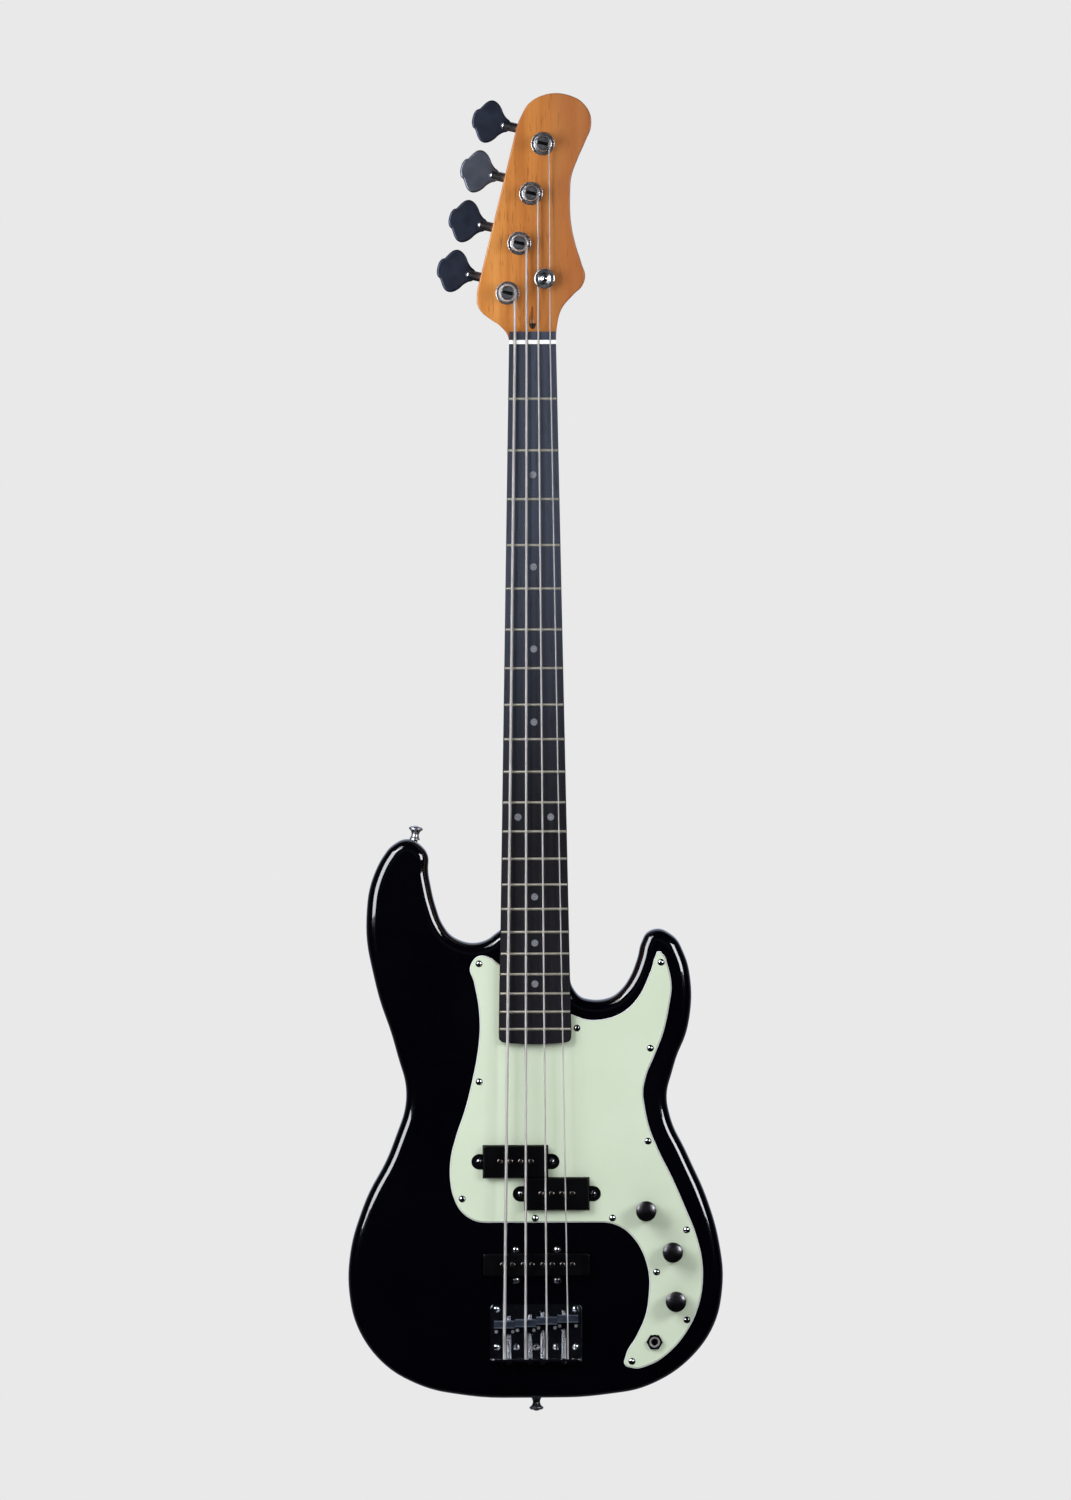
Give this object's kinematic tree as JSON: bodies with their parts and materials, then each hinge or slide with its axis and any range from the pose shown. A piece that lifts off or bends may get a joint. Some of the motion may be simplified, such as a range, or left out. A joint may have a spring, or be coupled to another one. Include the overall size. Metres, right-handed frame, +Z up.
{
  "type": "electric bass guitar",
  "caption": "Electric bass guitar with a gloss black double-cutaway body, roasted maple neck, dark fingerboard, mint pickguard, split and bridge pickups, open-gear tuners",
  "frame": {"origin": "centre line of the neck at the lower edge of the nut, level with the front face of the body", "axes": "+X to the treble side (the viewer's right), -Y out of the front face, +Z up the neck to the headstock"},
  "size_m": [0.3323, 0.0677, 1.1685],
  "materials": {
    "black_gloss": "solid wood under gloss black lacquer",
    "maple": "roasted maple, satin",
    "dark_wood": "dark oiled wood, satin",
    "fret_wire": "polished nickel silver",
    "grey_dot": "pearl grey",
    "white_bone": "polished bone white",
    "steel": "bright steel",
    "chrome": "mirror chrome",
    "mint_plastic": "pale mint laminate with bevelled plies",
    "pot_metal": "dull plated steel",
    "lead_plastic": "insulated leads",
    "foam": "closed-cell foam",
    "black_plastic": "moulded black plastic",
    "copper_coil": "enamelled copper wire",
    "pole_steel": "plated steel"
  },
  "bodies": {
    "instrument": {"body": "black_gloss", "bridge_plate": "chrome", "bridge_screws": "chrome", "control_nuts": "chrome", "fingerboard": "dark_wood", "frets": "fret_wire", "intonation_screws": "chrome", "intonation_springs": "steel", "neck": "maple", "neck_plate": "chrome", "neck_screws": "chrome", "nut": "white_bone", "output_jack": "chrome", "pickguard": "mint_plastic", "pickguard_screws": "chrome", "pickup_foam_pads": "foam", "position_dots": "grey_dot", "potentiometers": "pot_metal", "retainer_screw": "chrome", "strap_button_screws": "chrome", "strap_buttons": "chrome", "string_a": "steel", "string_d": "steel", "string_e": "steel", "string_g": "steel", "string_retainer": "chrome", "truss_rod": "steel", "tuner_ferrules": "chrome", "tuner_plates": "chrome", "tuner_screws": "chrome", "wiring": "lead_plastic"},
    "tuner_post_1": {"tuner_post_1": "chrome"},
    "tuner_key_1": {"tuner_key_1": "chrome"},
    "tuner_post_2": {"tuner_post_2": "chrome"},
    "tuner_key_2": {"tuner_key_2": "chrome"},
    "tuner_post_3": {"tuner_post_3": "chrome"},
    "tuner_key_3": {"tuner_key_3": "chrome"},
    "tuner_post_4": {"tuner_post_4": "chrome"},
    "tuner_key_4": {"tuner_key_4": "chrome"},
    "control_knob_1": {"control_knob_1": "chrome"},
    "control_knob_2": {"control_knob_2": "chrome"},
    "control_knob_3": {"control_knob_3": "chrome"},
    "saddle_e": {"saddle_e": "chrome"},
    "saddle_a": {"saddle_a": "chrome"},
    "saddle_d": {"saddle_d": "chrome"},
    "saddle_g": {"saddle_g": "chrome"},
    "bass_pickup": {"bass_pickup_cover": "black_plastic", "bass_pickup_coil": "copper_coil", "bass_pickup_poles": "pole_steel", "bass_pickup_screws": "chrome"},
    "treble_pickup": {"treble_pickup_cover": "black_plastic", "treble_pickup_coil": "copper_coil", "treble_pickup_poles": "pole_steel", "treble_pickup_screws": "chrome"},
    "bridge_pickup": {"bridge_pickup_cover": "black_plastic", "bridge_pickup_coil": "copper_coil", "bridge_pickup_poles": "pole_steel", "bridge_pickup_screws": "chrome"},
    "truss_rod_nut": {"truss_rod_nut": "steel"}
  },
  "joints": [
    {"name": "tuner_key_1_turn", "type": "hinge", "parent": "instrument", "child": "tuner_key_1", "pos_m": [-0.01998, 0.0206, 0.05377], "axis": [0.9727, 0, -0.2323], "continuous": true},
    {"name": "tuner_post_1_turn", "type": "hinge", "parent": "instrument", "child": "tuner_post_1", "pos_m": [-0.02198, 0, 0.0454], "axis": [0, 1, 0], "continuous": true},
    {"name": "tuner_key_2_turn", "type": "hinge", "parent": "instrument", "child": "tuner_key_2", "pos_m": [-0.00945, 0.0206, 0.09788], "axis": [0.9727, 0, -0.2323], "continuous": true},
    {"name": "tuner_post_2_turn", "type": "hinge", "parent": "instrument", "child": "tuner_post_2", "pos_m": [-0.01145, 0, 0.08952], "axis": [0, 1, 0], "continuous": true},
    {"name": "tuner_key_3_turn", "type": "hinge", "parent": "instrument", "child": "tuner_key_3", "pos_m": [0.00109, 0.0206, 0.142], "axis": [0.9727, 0, -0.2323], "continuous": true},
    {"name": "tuner_post_3_turn", "type": "hinge", "parent": "instrument", "child": "tuner_post_3", "pos_m": [-0.00091, 0, 0.13364], "axis": [0, 1, 0], "continuous": true},
    {"name": "tuner_key_4_turn", "type": "hinge", "parent": "instrument", "child": "tuner_key_4", "pos_m": [0.01162, 0.0206, 0.18612], "axis": [0.9727, 0, -0.2323], "continuous": true},
    {"name": "tuner_post_4_turn", "type": "hinge", "parent": "instrument", "child": "tuner_post_4", "pos_m": [0.00963, 0, 0.17776], "axis": [0, 1, 0], "continuous": true},
    {"name": "knob_1_turn", "type": "hinge", "parent": "instrument", "child": "control_knob_1", "pos_m": [0.09785, -0.01, -0.7685], "axis": [0, -1, 0], "range_deg": [-150, 150]},
    {"name": "knob_2_turn", "type": "hinge", "parent": "instrument", "child": "control_knob_2", "pos_m": [0.1213, -0.01, -0.8052], "axis": [0, -1, 0], "range_deg": [-150, 150]},
    {"name": "knob_3_turn", "type": "hinge", "parent": "instrument", "child": "control_knob_3", "pos_m": [0.124, -0.01, -0.8488], "axis": [0, -1, 0], "range_deg": [-150, 150]},
    {"name": "saddle_e_slide", "type": "slide", "parent": "instrument", "child": "saddle_e", "axis": [0, 0, 1], "range_m": [-0.004, 0.004], "deforming": ["intonation_springs"]},
    {"name": "saddle_a_slide", "type": "slide", "parent": "instrument", "child": "saddle_a", "axis": [0, 0, 1], "range_m": [-0.004, 0.004], "deforming": ["intonation_springs"]},
    {"name": "saddle_d_slide", "type": "slide", "parent": "instrument", "child": "saddle_d", "axis": [0, 0, 1], "range_m": [-0.004, 0.004], "deforming": ["intonation_springs"]},
    {"name": "saddle_g_slide", "type": "slide", "parent": "instrument", "child": "saddle_g", "axis": [0, 0, 1], "range_m": [-0.004, 0.004], "deforming": ["intonation_springs"]},
    {"name": "bass_pickup_slide", "type": "slide", "parent": "instrument", "child": "bass_pickup", "axis": [0, -1, 0], "range_m": [-0.002, 0.002]},
    {"name": "treble_pickup_slide", "type": "slide", "parent": "instrument", "child": "treble_pickup", "axis": [0, -1, 0], "range_m": [-0.002, 0.002]},
    {"name": "bridge_pickup_slide", "type": "slide", "parent": "instrument", "child": "bridge_pickup", "axis": [0, -1, 0], "range_m": [-0.002, 0.002]},
    {"name": "truss_rod_nut_turn", "type": "hinge", "parent": "instrument", "child": "truss_rod_nut", "pos_m": [0, 0.0015, 0.0134], "axis": [0, 0, 1], "range_deg": [-180, 180]}
  ],
  "couplings": [
    {"joint": "tuner_post_1_turn", "follows": "tuner_key_1_turn", "ratio": -0.05},
    {"joint": "tuner_post_2_turn", "follows": "tuner_key_2_turn", "ratio": -0.05},
    {"joint": "tuner_post_3_turn", "follows": "tuner_key_3_turn", "ratio": -0.05},
    {"joint": "tuner_post_4_turn", "follows": "tuner_key_4_turn", "ratio": -0.05}
  ]
}
